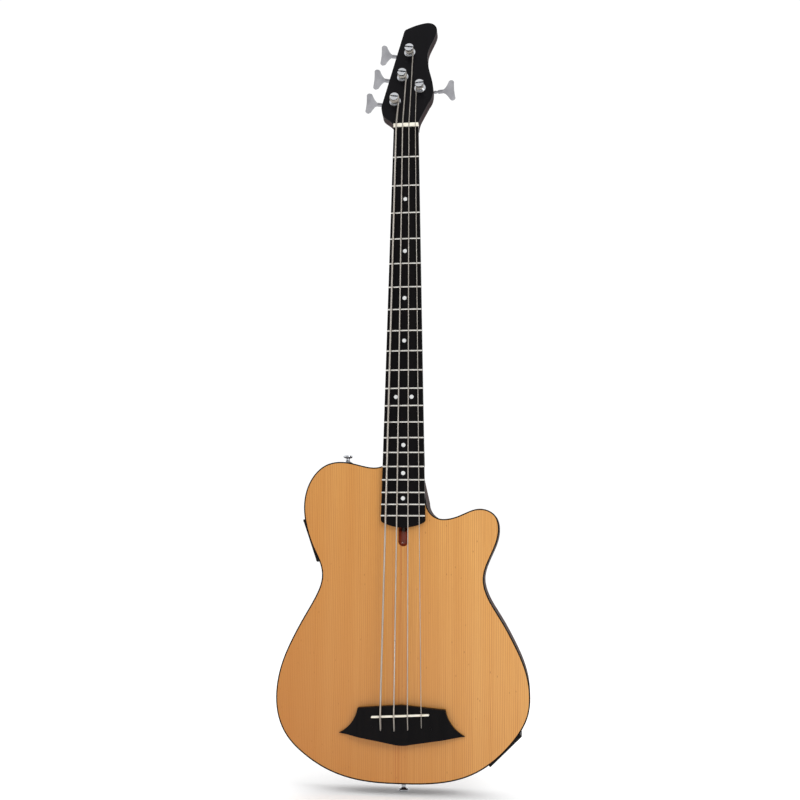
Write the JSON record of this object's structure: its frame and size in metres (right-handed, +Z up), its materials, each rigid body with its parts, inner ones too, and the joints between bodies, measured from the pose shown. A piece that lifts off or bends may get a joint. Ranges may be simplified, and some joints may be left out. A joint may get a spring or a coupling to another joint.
{
  "type": "electro-acoustic bass guitar",
  "caption": "Single-cutaway electro-acoustic bass guitar with a flat top, wooden bridge, fretted neck, leaning headstock with geared tuners, side preamp panel and battery drawer.",
  "frame": {"origin": "where the end strap button meets the tail, on the centreline at the body's mid-depth", "axes": "+Z runs up the neck, the front faces -Y, and +X is the treble side with the cutaway"},
  "size_m": [0.3589, 0.0782, 1.173],
  "materials": {
    "spruce_top": "satin lacquer, straight grain",
    "mahogany": "dark brown, satin lacquer",
    "inner_spruce": "bare",
    "channel_wood": "reddish brown, glossy lacquer",
    "neck_wood": "dark brown, satin",
    "ebony": "black, fine grain, satin",
    "black_plastic": "black, glossy",
    "matte_black": "black, fine texture",
    "bone": "cream bone, polished",
    "pearl": "white pearl",
    "chrome": "polished",
    "satin_nickel": "satin nickel",
    "fret_metal": "nickel silver, polished",
    "string_metal": "round-wound nickel",
    "steel": "plain",
    "brass": "plain",
    "circuit_green": "circuit board",
    "felt": "black felt",
    "battery_shell": "plain dark sleeve"
  },
  "bodies": {
    "instrument": {"soundboard": "spruce_top", "back_plate": "mahogany", "side_bass": "mahogany", "side_treble": "mahogany", "side_cutaway": "mahogany", "bindings": "black_plastic", "linings": "inner_spruce", "neck_block": "channel_wood", "tail_block": "inner_spruce", "top_braces": "inner_spruce", "back_braces": "inner_spruce", "bridge_plate": "inner_spruce", "bridge": "ebony", "bridge_dots": "ebony", "bridge_bolts": "steel", "saddle": "bone", "saddle_pickup": "brass", "neck": "neck_wood", "headstock_veneer": "ebony", "fretboard": "ebony", "frets": "fret_metal", "position_dots": "pearl", "string_nut": "bone", "truss_rod": "steel", "neck_bolts": "steel", "tuner_ferrules": "chrome", "tuner_baseplates": "chrome", "tuner_screws": "chrome", "strap_buttons": "chrome", "strap_screws": "chrome", "horn_washer": "felt", "preamp_panel": "matte_black", "preamp_screws": "steel", "preamp_circuit": "circuit_green", "battery_box": "matte_black", "output_jack": "steel", "wiring": "black_plastic", "string_e": "string_metal", "string_a": "string_metal", "string_d": "string_metal", "string_g": "string_metal"},
    "key_e": {"worm_and_key_e": "satin_nickel"},
    "peg_e": {"post_e": "chrome", "gear_e": "brass"},
    "key_a": {"worm_and_key_a": "satin_nickel"},
    "peg_a": {"post_a": "chrome", "gear_a": "brass"},
    "key_d": {"worm_and_key_d": "satin_nickel"},
    "peg_d": {"post_d": "chrome", "gear_d": "brass"},
    "key_g": {"worm_and_key_g": "satin_nickel"},
    "peg_g": {"post_g": "chrome", "gear_g": "brass"},
    "knob_volume": {"knob_volume": "black_plastic"},
    "knob_bass": {"knob_bass": "black_plastic"},
    "knob_middle": {"knob_middle": "black_plastic"},
    "knob_treble": {"knob_treble": "black_plastic"},
    "drawer": {"battery_drawer": "matte_black", "battery": "battery_shell"},
    "rod_nut": {"truss_rod_nut": "brass"}
  },
  "joints": [
    {"name": "key_e_turn", "type": "hinge", "parent": "instrument", "child": "key_e", "pos_m": [-0.0168, 0.00146, 1.01122], "axis": [-0.9789, 0.046, 0.1993], "continuous": true},
    {"name": "peg_e_turn", "type": "hinge", "parent": "instrument", "child": "peg_e", "pos_m": [-0.0187, -0.02398, 1.00774], "axis": [0, -0.9744, 0.225], "continuous": true},
    {"name": "key_a_turn", "type": "hinge", "parent": "instrument", "child": "key_a", "pos_m": [-0.0065, 0.01198, 1.05682], "axis": [-0.9789, 0.046, 0.1993], "continuous": true},
    {"name": "peg_a_turn", "type": "hinge", "parent": "instrument", "child": "peg_a", "pos_m": [-0.0084, -0.01345, 1.05334], "axis": [0, -0.9744, 0.225], "continuous": true},
    {"name": "key_d_turn", "type": "hinge", "parent": "instrument", "child": "key_d", "pos_m": [0.003, 0.02278, 1.10359], "axis": [-0.9789, 0.046, 0.1993], "continuous": true},
    {"name": "peg_d_turn", "type": "hinge", "parent": "instrument", "child": "peg_d", "pos_m": [0.0011, -0.00265, 1.10011], "axis": [0, -0.9744, 0.225], "continuous": true},
    {"name": "key_g_turn", "type": "hinge", "parent": "instrument", "child": "key_g", "pos_m": [0.01875, 0.00673, 1.03408], "axis": [0.9968, 0.018, 0.0781], "continuous": true},
    {"name": "peg_g_turn", "type": "hinge", "parent": "instrument", "child": "peg_g", "pos_m": [0.0195, -0.01874, 1.03045], "axis": [0, -0.9744, 0.225], "continuous": true},
    {"name": "volume_turn", "type": "hinge", "parent": "instrument", "child": "knob_volume", "pos_m": [-0.12746, 0, 0.31385], "axis": [-0.9405, 0, -0.3399], "range_deg": [-140, 140]},
    {"name": "bass_turn", "type": "hinge", "parent": "instrument", "child": "knob_bass", "pos_m": [-0.13222, 0, 0.32702], "axis": [-0.9405, 0, -0.3399], "range_deg": [-140, 140]},
    {"name": "middle_turn", "type": "hinge", "parent": "instrument", "child": "knob_middle", "pos_m": [-0.13698, 0, 0.34018], "axis": [-0.9405, 0, -0.3399], "range_deg": [-140, 140]},
    {"name": "treble_turn", "type": "hinge", "parent": "instrument", "child": "knob_treble", "pos_m": [-0.14174, 0, 0.35335], "axis": [-0.9405, 0, -0.3399], "range_deg": [-140, 140]},
    {"name": "drawer_slide", "type": "slide", "parent": "instrument", "child": "drawer", "axis": [0.693, 0, -0.721], "range_m": [0, 0.026]},
    {"name": "rod_nut_turn", "type": "hinge", "parent": "instrument", "child": "rod_nut", "pos_m": [0, -0.0228, 0.355], "axis": [0, 0, 1], "range_deg": [-180, 180]}
  ],
  "couplings": [
    {"joint": "peg_e_turn", "follows": "key_e_turn", "ratio": -0.05},
    {"joint": "peg_a_turn", "follows": "key_a_turn", "ratio": -0.05},
    {"joint": "peg_d_turn", "follows": "key_d_turn", "ratio": -0.05},
    {"joint": "peg_g_turn", "follows": "key_g_turn", "ratio": 0.05}
  ]
}
